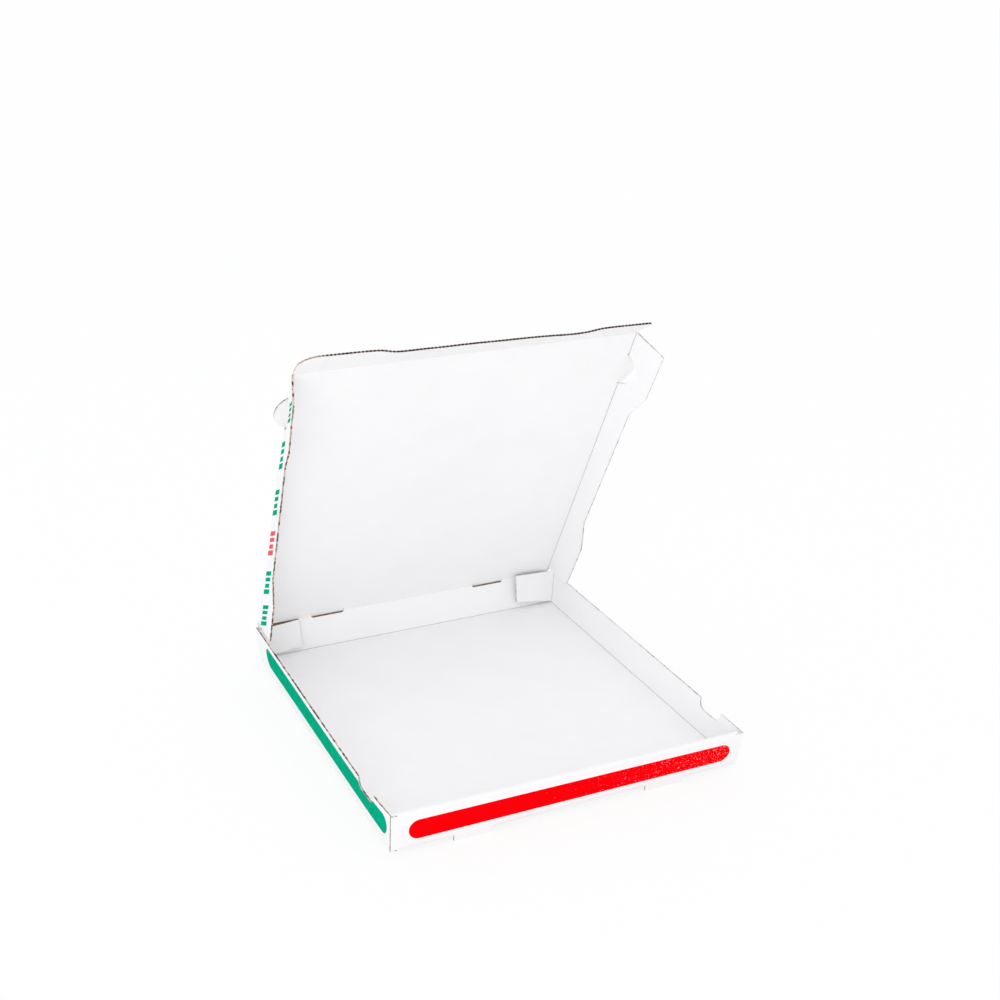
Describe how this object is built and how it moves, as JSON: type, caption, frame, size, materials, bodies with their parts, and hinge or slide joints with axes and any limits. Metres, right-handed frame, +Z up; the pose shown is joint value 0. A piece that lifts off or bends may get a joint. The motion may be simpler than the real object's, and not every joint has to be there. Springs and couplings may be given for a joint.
{
  "type": "pizza box",
  "caption": "Shallow square-cornered food box folded from corrugated board, with a hinged lid, side flaps and a tuck flap.",
  "frame": {"origin": "middle of the underside of the tray's floor", "axes": "+Z up, +Y towards the hinge at the back, +X to the right as seen from the front"},
  "size_m": [0.3225, 0.3465, 0.3348],
  "materials": {
    "board": "matt white-lined corrugated board with plain coloured print"
  },
  "bodies": {
    "tray": {"tray": "board"},
    "lid": {"lid_panel": "board"},
    "left_flap": {"left_lid_flap": "board"},
    "right_flap": {"right_lid_flap": "board"},
    "tuck": {"tuck_flap": "board"}
  },
  "joints": [
    {"name": "lid_hinge", "type": "hinge", "parent": "tray", "child": "lid", "pos_m": [0, 0.17303, 0.03265], "axis": [-1, 0, 0], "range_deg": [-61.3, 118.7]},
    {"name": "left_flap_fold", "type": "hinge", "parent": "lid", "child": "left_flap", "pos_m": [-0.1483, 0.17303, 0.03265], "axis": [0, -0.4802, 0.8771], "range_deg": [-33.4, 17.5]},
    {"name": "right_flap_fold", "type": "hinge", "parent": "lid", "child": "right_flap", "pos_m": [0.1483, 0.17303, 0.03265], "axis": [0, 0.4802, -0.8771], "range_deg": [-60.5, 31.5]},
    {"name": "tuck_fold", "type": "hinge", "parent": "lid", "child": "tuck", "pos_m": [0, 0.0191, 0.3138], "axis": [1, 0, 0], "range_deg": [-71.2, 37]}
  ],
  "couplings": [
    {"joint": "left_flap_fold", "follows": "lid_hinge", "ratio": -0.27732},
    {"joint": "right_flap_fold", "follows": "lid_hinge", "ratio": -0.50571},
    {"joint": "tuck_fold", "follows": "lid_hinge", "ratio": -0.59543}
  ]
}
